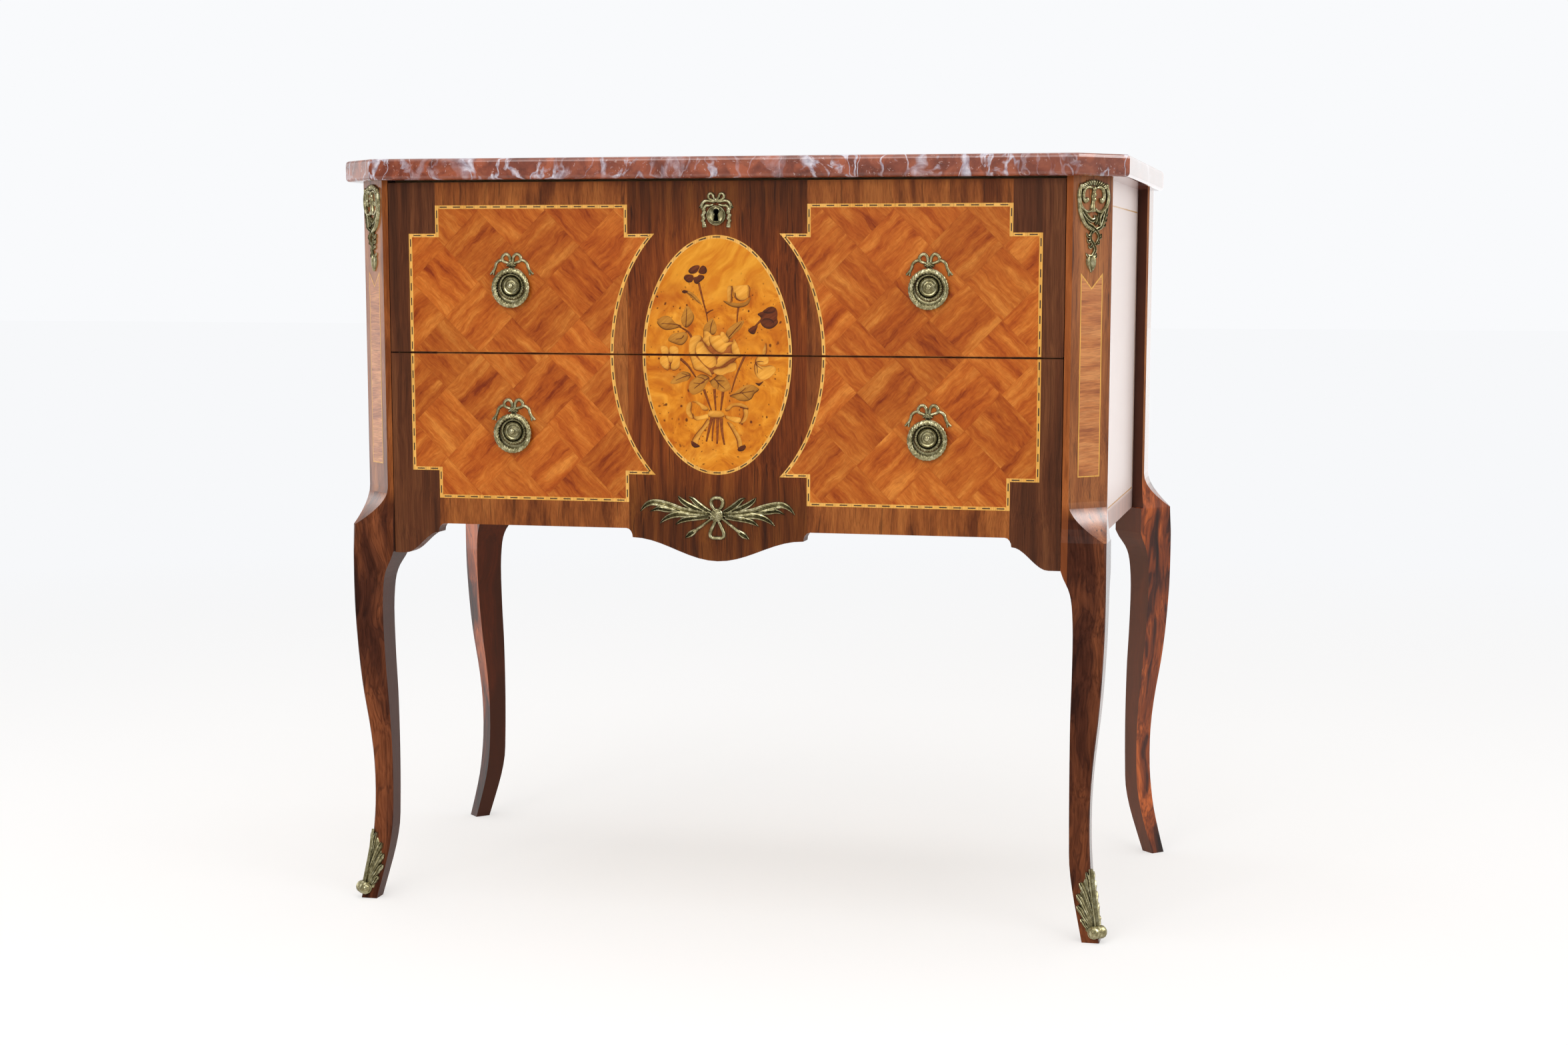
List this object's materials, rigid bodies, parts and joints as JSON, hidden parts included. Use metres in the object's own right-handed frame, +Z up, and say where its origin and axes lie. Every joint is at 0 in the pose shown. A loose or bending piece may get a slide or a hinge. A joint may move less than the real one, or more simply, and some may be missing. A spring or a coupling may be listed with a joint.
{
  "type": "commode chest",
  "caption": "Two-drawer commode with a canted marble slab, faceted posts on cabriole legs, shaped apron, ring handles and a drawer lock.",
  "frame": {"origin": "centre of the chest's bounding box at floor level", "axes": "+X to the viewer's right along the drawer fronts, +Y from the fronts to the back, +Z up"},
  "size_m": [0.875, 0.46, 0.8],
  "materials": {
    "marble": "polished red marble with pale veins",
    "post_veneer": "polished dark rosewood and crossbanded veneer",
    "panel_veneer": "polished rosewood veneer with string lines",
    "front_marquetry": "polished rosewood with parquetry and floral marquetry",
    "stained_pine": "stained, unpolished",
    "pine": "planed, waxed",
    "bronze": "cast bronze, worn gilding in the hollows",
    "iron": "dark iron"
  },
  "bodies": {
    "case": {"marble_slab": "marble", "front_post_right": "post_veneer", "front_post_left": "post_veneer", "rear_post_right": "post_veneer", "rear_post_left": "post_veneer", "side_panel_right": "panel_veneer", "side_panel_left": "panel_veneer", "back_panel": "stained_pine", "bottom_board": "pine", "middle_rail": "pine", "top_front_rail": "pine", "top_back_rail": "pine", "lower_runner_right": "pine", "lower_runner_left": "pine", "lower_guide_right": "pine", "lower_guide_left": "pine", "upper_runner_right": "pine", "upper_runner_left": "pine", "upper_guide_right": "pine", "upper_guide_left": "pine", "kicker_right": "pine", "kicker_left": "pine", "corner_mount_right": "bronze", "corner_mount_left": "bronze", "sabot_right": "bronze", "sabot_left": "bronze"},
    "drawer_upper": {"upper_drawer_front": "front_marquetry", "upper_drawer_side_right": "pine", "upper_drawer_side_left": "pine", "upper_drawer_back": "pine", "upper_drawer_bottom": "pine", "upper_handle_left_plate": "bronze", "upper_handle_left_bolt": "bronze", "upper_handle_left_nut": "iron", "upper_handle_right_plate": "bronze", "upper_handle_right_bolt": "bronze", "upper_handle_right_nut": "iron", "escutcheon": "bronze", "lock_case": "iron"},
    "drawer_lower": {"lower_drawer_front": "front_marquetry", "lower_drawer_side_right": "pine", "lower_drawer_side_left": "pine", "lower_drawer_back": "pine", "lower_drawer_bottom": "pine", "lower_handle_left_plate": "bronze", "lower_handle_left_bolt": "bronze", "lower_handle_left_nut": "iron", "lower_handle_right_plate": "bronze", "lower_handle_right_bolt": "bronze", "lower_handle_right_nut": "iron", "apron_mount": "bronze"},
    "bolt": {"lock_bolt": "iron"},
    "ring_upper_left": {"upper_handle_left_ring": "bronze"},
    "ring_upper_right": {"upper_handle_right_ring": "bronze"},
    "ring_lower_left": {"lower_handle_left_ring": "bronze"},
    "ring_lower_right": {"lower_handle_right_ring": "bronze"}
  },
  "joints": [
    {"name": "upper_drawer_slide", "type": "slide", "parent": "case", "child": "drawer_upper", "axis": [0, -1, 0], "range_m": [0, 0.32]},
    {"name": "lower_drawer_slide", "type": "slide", "parent": "case", "child": "drawer_lower", "axis": [0, -1, 0], "range_m": [0, 0.32]},
    {"name": "lock_bolt_slide", "type": "slide", "parent": "drawer_upper", "child": "bolt", "axis": [0, 0, 1], "range_m": [0, 0.008]},
    {"name": "upper_left_ring_swing", "type": "hinge", "parent": "drawer_upper", "child": "ring_upper_left", "pos_m": [-0.222, -0.21735, 0.69], "axis": [-1, 0, 0], "range_deg": [0, 95]},
    {"name": "upper_right_ring_swing", "type": "hinge", "parent": "drawer_upper", "child": "ring_upper_right", "pos_m": [0.222, -0.21735, 0.69], "axis": [-1, 0, 0], "range_deg": [0, 95]},
    {"name": "lower_left_ring_swing", "type": "hinge", "parent": "drawer_lower", "child": "ring_lower_left", "pos_m": [-0.222, -0.21735, 0.5377], "axis": [-1, 0, 0], "range_deg": [0, 95]},
    {"name": "lower_right_ring_swing", "type": "hinge", "parent": "drawer_lower", "child": "ring_lower_right", "pos_m": [0.222, -0.21735, 0.5377], "axis": [-1, 0, 0], "range_deg": [0, 95]}
  ]
}
